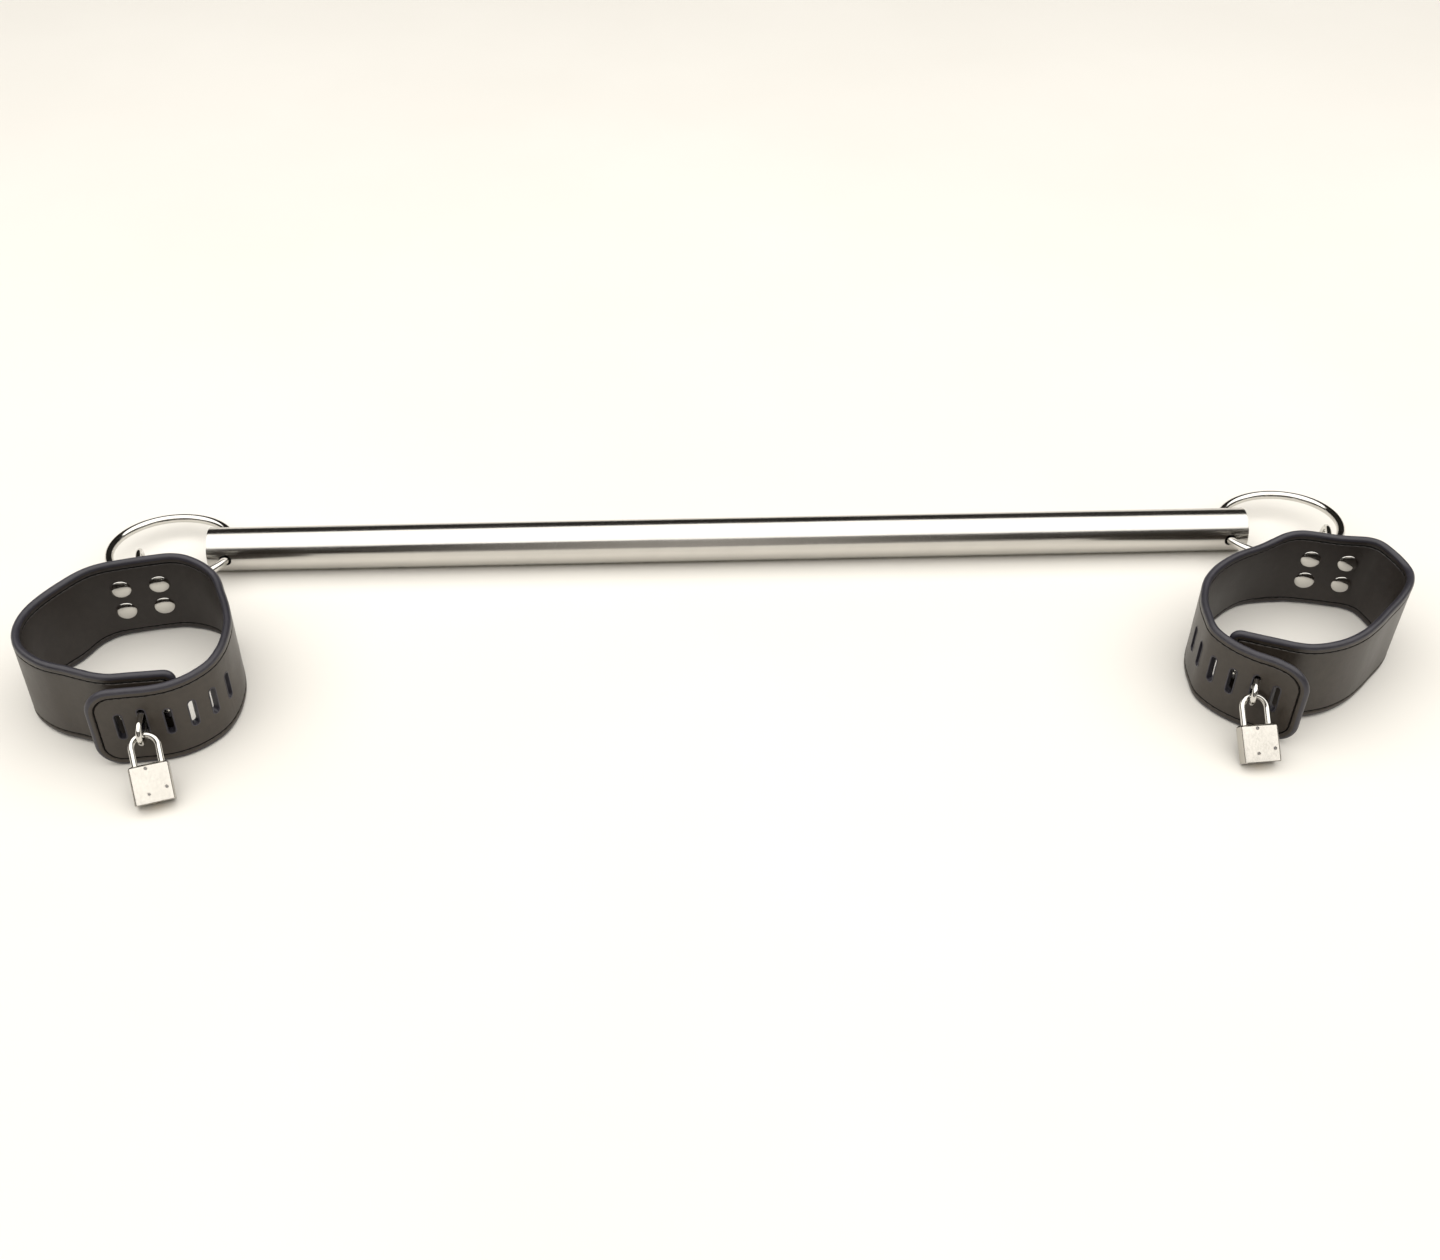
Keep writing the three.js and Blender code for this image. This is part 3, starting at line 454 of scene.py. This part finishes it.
# ------------------------------------------------------------------ bar
prof = [(BAR_R - BAR_WALL, -BAR_LEN / 2 + 0.3), (BAR_R - BAR_WALL + 0.3, -BAR_LEN / 2), (BAR_R - 0.35, -BAR_LEN / 2), (BAR_R - 0.1, -BAR_LEN / 2 + 0.1), (BAR_R, -BAR_LEN / 2 + 0.35)]
prof = prof + [(r, -h) for r, h in reversed(prof)]
seg = 128
rings = []
for r, h in prof:
    rings.append(A([W((h, r * math.cos(2 * math.pi * k / seg), BAR_Z + r * math.sin(2 * math.pi * k / seg))) for k in range(seg)]))
v, f = grid_tube(rings, True)
bar = mesh("bar", v, f, [CHROME_BAR], 40)
cutters = []
for sg in (-1, 1):
    d = A([0, math.cos(rad(HOLE_TILT)), -math.sin(rad(HOLE_TILT))]); c = A([sg * (BAR_LEN / 2 - HOLE_FROM_END), 0, BAR_Z]); x = A([1.0, 0, 0]); y = np.cross(d, x)
    circ = [(HOLE_R * math.cos(2 * math.pi * k / 48), HOLE_R * math.sin(2 * math.pi * k / 48)) for k in range(48)]
    cutters.append(extrude_poly("c", circ, -20, 20, lambda a, h, b: c + x * a + y * b + d * h, [CHROME_BAR]))
boolean(bar, cutters); finish_smooth(bar, 40)
done(bar, "bar", "chrome", "bar_tube")

hole_axis = A([0, math.cos(rad(HOLE_TILT)), -math.sin(rad(HOLE_TILT))])
Z = A([0, 0, 1.0])

for tag, S in SIDES.items():
    sg = S["s"]
    # round ring
    flat = A([sg, 0, 0.0]); up = np.cross(flat, hole_axis)
    if up[2] < 0: up = -up
    d2 = flat * math.cos(rad(S["tilt"])) + up * math.sin(rad(S["tilt"]))
    hc = BAR_R - BAR_WALL / 2
    rc = A([sg * (BAR_LEN / 2 - HOLE_FROM_END), 0, BAR_Z]) + d2 * math.sqrt(RING_R ** 2 - hc ** 2)
    rn = np.cross(hole_axis, d2)
    pts = [rc + hole_axis * RING_R * math.cos(2 * math.pi * i / 160) + d2 * RING_R * math.sin(2 * math.pi * i / 160) for i in range(160)]
    v, f = sweep(pts, rn, RING_W, 28, True)
    done(mesh("round_ring_" + tag, v, f, [CHROME], 60), "ring_" + tag, "chrome", "ring_" + tag)

    path = Path(S["plan"]); L = path.len
    body = "cuff_" + tag
    sB = path.find(S["back"], L * 0.3, L * 0.7)
    fx = lambda x: path.find(x, L * 0.3, L * 0.75)
    if tag == "right":
        shape(path, sB, [(sB + 42, -2.6, 11.0), (sB + 18, 1.2, 12.0), (sB - 22, 1.8, 10.0), (sB - 44, -1.2, 9.0)], [(sB + 48, 6.5, 20.0), (sB - 36, -6.0, 17.0)])
    else:
        shape(path, sB, [(sB + 8, 2.0, 26.0), (sB - 42, -1.0, 12.0)], [(sB - 40, -6.0, 18.0), (sB + 40, 2.5, 14.0)])
    bp, bt, bn = path.at(sB)
    bx = np.cross(bn, Z)
    BM = lambda a, h, b, bp=bp, bx=bx, bn=bn: bp + bx * a + bn * h + Z * b
    slots = [L - SLOT_FIRST - i * SLOT_PITCH for i in range(SLOT_COUNT)]
    sp = path.at(slots[1])[0]
    best = (1e9, 14)
    for s in np.arange(10, 60, 0.1):
        u = path.at(s); e = abs(np.dot(sp - u[0], u[1]))
        if e < best[0]: best = (e, s)
    up_, ut, un = path.at(best[1])
    ux = np.cross(un, Z); ux /= np.linalg.norm(ux)
    SM = lambda a, h, b, o=up_, ux=ux, un=un: o + ux * a + un * h + Z * (ST_Z + b)

    cuff = strap("strap_" + tag, path)
    cutters = []
    for i, s in enumerate(slots):
        q, t, n = path.at(s)
        if i == 1: n2, zc, w = un, ST_Z, SLOT_W
        else: n2, zc, w = n, SLOT_Z, SLOT_W
        x = np.cross(n2, Z)
        cutters.append(extrude_poly("c", stadium(w, SLOT_L), -6, 6, lambda a, h, b, q=q, x=x, n2=n2, zc=zc: q + x * a + n2 * h + Z * (zc + b), [EDGE_PAINTED_SHEEN]))
    boolean(cuff, cutters); finish_smooth(cuff, 50)
    for i, s in enumerate(slots):
        q, t, n = path.at(s)
        zc = ST_Z if i == 1 else SLOT_Z
        if i == 1: n = un
        x = np.cross(n, Z)
        out = stadium(SLOT_W + 0.75, SLOT_L + 0.75, 12)
        v, f = lip([q + x * a + n * (T_HALF - 0.02) + Z * (zc + b) for a, b in out], n, 0.36, 0.16)
        # the slot lips use the edge leather with its painted sheen tint
        done(mesh("slot_lip_%s_%d" % (tag, i + 1), v, f, [EDGE_PAINTED_SHEEN], 60), body, "leather")
    done(cuff, body, "leather", "cuff_" + tag + "_outer_leather", "cuff_" + tag + "_lining_leather")

    done(stitches("stitching_outside_" + tag, path, (1,), THREAD), body, "leather")
    done(stitches("stitching_inside_" + tag, path, (-1,), THREAD), body, "lining")

    # keeper patch
    lo = T_HALF + 0.12; barN = T_HALF + 0.3 + DEE_W; hi = barN + DEE_W + 0.3
    w = KEEP_W / 2
    def mid(a):
        a = abs(a)
        k = 1 / (1 + math.exp((a - 3.3) * 2.6))
        return lo + (hi - lo) * k * (1.0 if a > 1.2 else 1.0)
    xs = np.linspace(-w, w, 81); zs = np.linspace(-KEEP_H / 2, KEEP_H / 2, 41)
    verts = []; faces = []; nx, nz = len(xs), len(zs)
    for layer_ in (0, 1):
        for z in zs:
            for a in xs:
                e = min(w - abs(a), KEEP_H / 2 - abs(z))
                rnd = KEEP_T * (1 - (1 - min(1, e / 1.1)) ** 2 * 0.45)
                groove = -0.3 * math.exp(-((e - 3.0) / 0.45) ** 2)
                # corners of the patch are rounded by pulling points in
                ca, cz_ = a, z
                rc_ = 3.0; da, dz_ = abs(a) - (w - rc_), abs(z) - (KEEP_H / 2 - rc_)
                if da > 0 and dz_ > 0:
                    m_ = max(da, dz_); hyp = math.hypot(da, dz_)
                    ca = math.copysign(w - rc_ + da * m_ / hyp, a); cz_ = math.copysign(KEEP_H / 2 - rc_ + dz_ * m_ / hyp, z)
                h = mid(a) + (rnd + groove if layer_ else 0)
                verts.append(W(BM(ca, h, DEE_Z + cz_)))
    NN = nx * nz; fi = []
    for j in range(nz - 1):
        for i in range(nx - 1):
            q0 = j * nx + i
            faces.append((q0, q0 + 1, q0 + nx + 1, q0 + nx)); fi.append(0)
            faces.append((NN + q0, NN + q0 + nx, NN + q0 + nx + 1, NN + q0 + 1)); fi.append(0)
    rim = [i for i in range(nx)] + [j * nx + nx - 1 for j in range(1, nz)] + [(nz - 1) * nx + i for i in range(nx - 2, -1, -1)] + [j * nx for j in range(nz - 2, 0, -1)]
    # the keeper's rim faces use the edge leather with its painted sheen tint
    for a_, b_ in zip(rim, rim[1:] + rim[:1]):
        faces.append((a_, NN + a_, NN + b_, b_)); fi.append(1)
    done(mesh("keeper_" + tag, verts, faces, [LEATHER, EDGE_PAINTED_SHEEN], 50, fi), body, "leather", "dee_keeper_" + tag)

    # dee ring
    pts = [(0, z) for z in np.linspace(-DEE_H + 2.2, DEE_H - 2.2, 14)] + arc(2.2, DEE_H - 2.2, 2.2, 180, 90, 8)[1:]
    pts += [(u, DEE_H) for u in np.linspace(2.2, DEE_S, 8)[1:-1]] + arc(DEE_S, 0, DEE_H, 90, -90, 40)
    pts += [(u, -DEE_H) for u in np.linspace(DEE_S, 2.2, 8)[1:-1]] + arc(2.2, -DEE_H + 2.2, 2.2, 270, 180, 8)[:-1]
    v, f = sweep([BM(0, barN + u, DEE_Z + z) for u, z in pts], bx, DEE_W, 24, True)
    done(mesh("dee_" + tag, v, f, [CHROME], 60), "dee_" + tag, "chrome", "dee_ring_" + tag)

    # back rivets
    ky = lo + KEEP_T + 0.02; cy = -T_HALF - 0.02
    for nm, dx, dz in (("lower_a", -1, -1), ("lower_b", 1, -1), ("upper_a", -1, 1), ("upper_b", 1, 1)):
        pr = [(0, cy - 1.3), (1.2, cy - 1.27), (2.4, cy - 1.17), (3.5, cy - 0.99), (4.3, cy - 0.79), (4.9, cy - 0.55), (5.3, cy - 0.31), (5.52, cy - 0.14), (5.58, cy - 0.02), (5.4, cy), (1.8, cy + 0.01), (1.8, ky), (4.6, ky), (4.75, ky + 0.15), (4.6, ky + 0.55), (3.8, ky + 1.1), (2.4, ky + 1.55), (1.1, ky + 1.75), (0, ky + 1.8)]
        M = lambda a, h, b, dx=dx, dz=dz: BM(dx * BRX + a, h, BRC + dz * BRZ + b)
        done(lathe("rivet_" + tag + "_" + nm, pr, 48, M, [CHROME], 40), body, "chrome", "back_rivet_" + tag + "_" + nm)

    # staple: plate, loop, rivets
    p0 = T_HALF + 0.1
    rr = 3.0
    out = arc(PL_W / 2 - rr, PL_H / 2 - rr, rr, 0, 90, 6) + arc(-PL_W / 2 + rr, PL_H / 2 - rr, rr, 90, 180, 6) + arc(-PL_W / 2 + rr, -PL_H / 2 + rr, rr, 180, 270, 6) + arc(PL_W / 2 - rr, -PL_H / 2 + rr, rr, 270, 360, 6)
    verts = []; layers = [(1.0, p0), (1.0, p0 + PL_T - 0.35), (0.985, p0 + PL_T - 0.08), (0.955, p0 + PL_T + 0.1)]
    for k, h in layers:
        verts += [W(SM(a - math.copysign((1 - k) * 8, a), h, b - math.copysign((1 - k) * 8, b))) for a, b in out]
    n_ = len(out); faces = [tuple(range(n_ - 1, -1, -1)), tuple(3 * n_ + i for i in range(n_))]
    for l in range(3):
        faces += [(l * n_ + i, l * n_ + (i + 1) % n_, (l + 1) * n_ + (i + 1) % n_, (l + 1) * n_ + i) for i in range(n_)]
    done(mesh("staple_plate_" + tag, verts, faces, [CHROME], 30), body, "chrome", "staple_" + tag)
    reach = T_HALF + ST_REACH - ST_W - ST_H
    pts = [(x_, ST_H) for x_ in np.linspace(p0 + 0.5, reach, 12)[:-1]] + arc(reach, 0, ST_H, 90, -90, 28) + [(x_, -ST_H) for x_ in np.linspace(reach, p0 + 0.5, 12)[1:]]
    v, f = sweep([SM(0, a, b) for a, b in pts], ux, ST_W, 24, False)
    done(mesh("staple_loop_" + tag, v, f, [CHROME], 60), body, "chrome")
    hy = p0 + PL_T + 0.1; iy = -T_HALF - 0.02
    for nm, dx in (("a", -1), ("b", 1)):
        pr = [(0, iy - 1.5), (1.4, iy - 1.4), (2.6, iy - 0.95), (3.3, iy - 0.3), (3.4, iy - 0.06), (3.25, iy), (1.45, iy + 0.01), (1.45, hy), (2.9, hy), (3.0, hy + 0.15), (2.6, hy + 0.7), (1.5, hy + 1.2), (0, hy + 1.4)]
        M = lambda a, h, b, dx=dx: SM(dx * FRX + a, h, b)
        done(lathe("plate_rivet_" + tag + "_" + nm, pr, 40, M, [CHROME], 40), body, "chrome", "staple_rivet_" + tag + "_" + nm)

    # padlock
    lk = "padlock_" + tag
    arch = up_ + un * reach + Z * (ST_Z - ST_H + ST_W + SH_W + 0.35)
    y_ = rad(S["yaw"]); h_ = A([math.sin(y_), -math.cos(y_), 0])
    down = h_ * math.sin(rad(LEAN)) - Z * math.cos(rad(LEAN))
    wx = A([-h_[1], h_[0], 0]); ny = np.cross(-down, wx)
    LM = lambda a, h, b, arch=arch, wx=wx, ny=ny, down=down: arch + wx * a + ny * h - down * b
    B = -SH_B
    # body: rounded block, bevelled side edges, drilled for legs, plug and pins
    w2, t2, bv = LK_W / 2, LK_T / 2, 1.3
    sec = [(-w2, -t2 + bv), (-w2 + 0.25, -t2 + 0.65), (-w2 + 0.65, -t2 + 0.25), (-w2 + bv, -t2), (w2 - bv, -t2), (w2 - 0.65, -t2 + 0.25), (w2 - 0.25, -t2 + 0.65), (w2, -t2 + bv), (w2, t2 - bv), (w2 - 0.25, t2 - 0.65), (w2 - 0.65, t2 - 0.25), (w2 - bv, t2), (-w2 + bv, t2), (-w2 + 0.65, t2 - 0.25), (-w2 + 0.25, t2 - 0.65), (-w2, t2 - bv)]
    rings = []
    for z, k in ((B, 1.55), (B - 0.3, 0.9), (B - 0.9, 0.22), (B - 1.4, 0.0), (B - LK_H + 0.45, 0.0), (B - LK_H + 0.12, 0.16), (B - LK_H, 0.45)):
        rings.append(A([W(LM(a - math.copysign(k, a), h - math.copysign(k, h), z)) for a, h in sec]))
    v, f = grid_tube(rings, False)
    lb = mesh("lock_body_" + tag, v, f, [LOCKMETAL], 25, smooth=False)
    circle = lambda r, n=40: [(r * math.cos(2 * math.pi * k / n), r * math.sin(2 * math.pi * k / n)) for k in range(n)]
    cutters = []
    for x_, depth in ((-SH_A, 8), (SH_A, 15)):
        cutters.append(extrude_poly("c", circle(1.85), B + 2, B - depth, lambda a, d, b, x_=x_: LM(x_ + a, b, d), [LOCKMETAL]))
    cutters.append(extrude_poly("c", circle(3.42), B - LK_H + 11.6, B - LK_H - 2, lambda a, d, b: LM(a, b, d), [LOCKMETAL]))
    for (x_, z_, d_) in ((-1.4, -2.2, 1.6), (-2.1, -15.3, 0.55), (6.9, -13.2, 1.5)):
        cutters.append(extrude_poly("c", circle(0.95, 24), -t2 - 2, -t2 + d_ + 0.2, lambda a, d, b, x_=x_, z_=z_: LM(x_ + a, d, B + z_ + b), [LOCKMETAL]))
    boolean(lb, cutters); finish_smooth(lb, 32)
    wn = lb.modifiers.new("weighted", "WEIGHTED_NORMAL"); wn.keep_sharp = True; wn.weight = 100
    done(lb, lk, "chrome", "padlock_" + tag + "_body")
    sh = [(-SH_A, B - 7), (-SH_A, B - 3), (-SH_A, B + 2)] + [(-SH_A, z) for z in np.linspace(B + 4, -SH_A - 0.3, 5)] + arc(0, -SH_A, SH_A, 180, 0, 40) + [(SH_A, z) for z in np.linspace(-SH_A - 0.3, B + 4, 5)] + [(SH_A, B + 2), (SH_A, B - 6), (SH_A, B - 14)]
    v, f = sweep([LM(a, 0, b) for a, b in sh], ny, SH_W, 28, False)
    done(mesh("shackle_" + tag, v, f, [CHROME], 60), lk, "chrome", "padlock_" + tag + "_shackle")

# ------------------------------------------------------------------ CAD nodes that stay
for name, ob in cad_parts.items():
    m = None
    if "end_plug" in name: m = STEEL
    elif "case_pin" in name: m = DARKMETAL
    elif "spring" in name: m = STEEL
    elif name.endswith("_bolt") or "lock_plug" in name: m = BRASS
    if m is not None:
        ob.data.materials.clear(); ob.data.materials.append(m)

# ------------------------------------------------------------------ stage
fm, nt, p = new_mat("floor")
n1, _ = noise(nt, 3.0, 3.0)
c = ramp(nt, [(0.3, (0.80, 0.775, 0.725)), (0.7, (0.83, 0.807, 0.76))])
link(nt, n1.outputs["Fac"], c.inputs["Fac"]); link(nt, c.outputs["Color"], p.inputs["Base Color"])
p.inputs["Roughness"].default_value = 0.75
p.inputs["Specular IOR Level"].default_value = 0.2
floor = mesh("floor", [(-9, -5, 0), (9, -5, 0), (9, 12, 0), (-9, 12, 0)], [(0, 1, 2, 3)], [fm], smooth=False)

def card(name, loc, target, sx, sy, colour, strength=0.0):
    m = bpy.data.materials.new(name); m.use_nodes = True
    pr = m.node_tree.nodes["Principled BSDF"]
    pr.inputs["Base Color"].default_value = (*colour, 1); pr.inputs["Roughness"].default_value = 0.9
    if strength:
        pr.inputs["Emission Color"].default_value = (*colour, 1); pr.inputs["Emission Strength"].default_value = strength
    v = [(-sx / 2, -sy / 2, 0), (sx / 2, -sy / 2, 0), (sx / 2, sy / 2, 0), (-sx / 2, sy / 2, 0)]
    o = mesh(name, v, [(0, 1, 2, 3)], [m], smooth=False)
    d = Vector(target) - Vector(loc)
    o.matrix_world = Matrix.Translation(loc) @ d.to_track_quat("-Z", "Y").to_matrix().to_4x4()
    o.visible_camera = False
    return o

def area(name, loc, target, sx, sy, power, colour=(1, 1, 1)):
    l = bpy.data.lights.new(name, "AREA"); l.shape = "RECTANGLE"; l.size = sx; l.size_y = sy; l.energy = power; l.color = colour
    o = bpy.data.objects.new(name, l); bpy.context.scene.collection.objects.link(o)
    d = Vector(target) - Vector(loc)
    o.matrix_world = Matrix.Translation(loc) @ d.to_track_quat("-Z", "Y").to_matrix().to_4x4()
    return o

area("top_box", (0.0, -0.10, 1.5), (0, -0.10, 0), 5.2, 3.0, 73, (1.0, 0.985, 0.955))
card("dark_back", (0, 2.6, 1.45), (0, 0, 0.9), 9.0, 2.6, (0.02, 0.018, 0.016))
front = card("dark_front", (0, -2.4, 1.1), (0, 0, 0.7), 9.0, 2.2, (0.03, 0.026, 0.022))
nt = front.data.materials[0].node_tree; pr = nt.nodes["Principled BSDF"]
tc = nt.nodes.new("ShaderNodeTexCoord"); sx = nt.nodes.new("ShaderNodeSeparateXYZ"); ab = nt.nodes.new("ShaderNodeMath"); ab.operation = "ABSOLUTE"
link(nt, tc.outputs["Object"], sx.inputs[0]); link(nt, sx.outputs["X"], ab.inputs[0])
mr = nt.nodes.new("ShaderNodeMapRange"); mr.inputs["From Min"].default_value = 0.15; mr.inputs["From Max"].default_value = 1.25
mr.inputs["To Min"].default_value = 0.42; mr.inputs["To Max"].default_value = 0.03
link(nt, ab.outputs[0], mr.inputs["Value"]); link(nt, mr.outputs["Result"], pr.inputs["Emission Strength"])
pr.inputs["Emission Color"].default_value = (1.0, 0.95, 0.88, 1)
card("dark_left", (-3.6, 0, 0.9), (0, 0, 0.5), 3.6, 1.6, (0.03, 0.026, 0.022))
card("dark_right", (3.6, 0, 0.9), (0, 0, 0.5), 3.6, 1.6, (0.03, 0.026, 0.022))
world = bpy.data.worlds.new("studio"); bpy.context.scene.world = world
world.use_nodes = True
bg = world.node_tree.nodes["Background"]
bg.inputs["Color"].default_value = (1.0, 0.97, 0.92, 1); bg.inputs["Strength"].default_value = 0.6
bpy.context.scene.view_settings.view_transform = "Standard"

# ------------------------------------------------------------------ camera
cam = bpy.data.cameras.new("camera"); camo = bpy.data.objects.new("camera", cam)
bpy.context.scene.collection.objects.link(camo)
pitch, yaw, roll = rad(41.0), rad(3.237), rad(0.854)
fw = A([math.sin(yaw) * math.cos(pitch), math.cos(yaw) * math.cos(pitch), -math.sin(pitch)])
ri = A([math.cos(yaw), -math.sin(yaw), 0]); uu = np.cross(ri, fw)
r2 = ri * math.cos(roll) + uu * math.sin(roll); u2 = -ri * math.sin(roll) + uu * math.cos(roll)
C = W((-51.713, -792.094, 631.273))
camo.matrix_world = Matrix(((r2[0], u2[0], -fw[0], C[0]), (r2[1], u2[1], -fw[1], C[1]), (r2[2], u2[2], -fw[2], C[2]), (0, 0, 0, 1)))
cam.sensor_fit = "HORIZONTAL"; cam.sensor_width = 36.0; cam.lens = 42.5
cam.clip_start = 0.01; cam.clip_end = 100
bpy.context.scene.camera = camo
